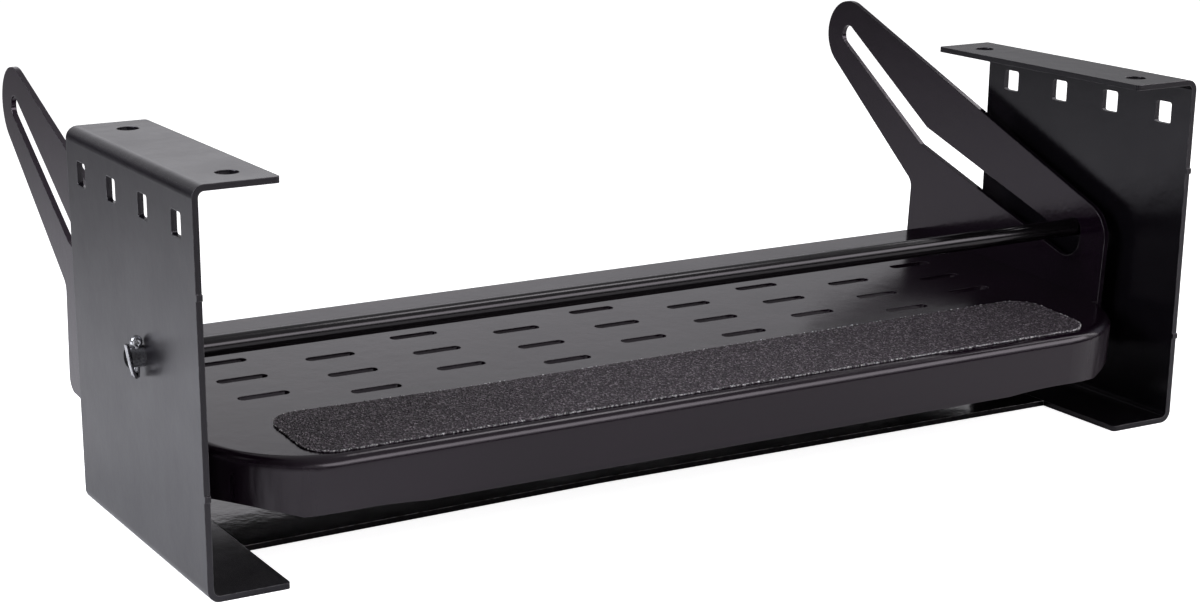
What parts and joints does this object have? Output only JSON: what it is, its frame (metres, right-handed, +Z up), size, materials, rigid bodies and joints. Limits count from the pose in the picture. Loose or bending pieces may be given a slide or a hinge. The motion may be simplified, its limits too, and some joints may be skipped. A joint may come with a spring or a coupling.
{
  "type": "caravan entry step",
  "caption": "Pull-out caravan entry step: perforated tread with a grip strip, hung by two hooked arms on a cross rod between folded side brackets.",
  "frame": {"origin": "centre of the four bolt holes, on the mounting face of the top flanges", "axes": "+Z up out of the mounting face, +X to the right across the step, +Y from the front edge to the back"},
  "size_m": [0.6008, 0.313, 0.2047],
  "materials": {
    "frame_coat": "gloss black powder coat on folded steel sheet",
    "base_coat": "gloss black powder coat on steel sheet",
    "rod_coat": "gloss black coat on round steel bar",
    "zinc": "bright zinc plate on steel wire",
    "tread_coat": "gloss black powder coat on pressed steel sheet",
    "arm_coat": "gloss black powder coat on steel plate",
    "grit": "dark grey anti-slip strip with mineral grit"
  },
  "bodies": {
    "frame": {"left_bracket": "frame_coat", "right_bracket": "frame_coat", "base_sheet": "base_coat"},
    "rod": {"cross_rod": "rod_coat", "left_split_pin": "zinc", "right_split_pin": "zinc"},
    "step": {"tread_pan": "tread_coat", "left_arm": "arm_coat", "right_arm": "arm_coat", "grip_strip": "grit"}
  },
  "joints": [
    {"name": "rod_turn", "type": "hinge", "parent": "frame", "child": "rod", "pos_m": [0, -0.0125, -0.093], "axis": [1, 0, 0], "range_deg": [-19, 8]},
    {"name": "step_lift", "type": "slide", "parent": "rod", "child": "step", "axis": [0, -0.0598, 0.9982], "range_m": [0, 0.0093]}
  ]
}
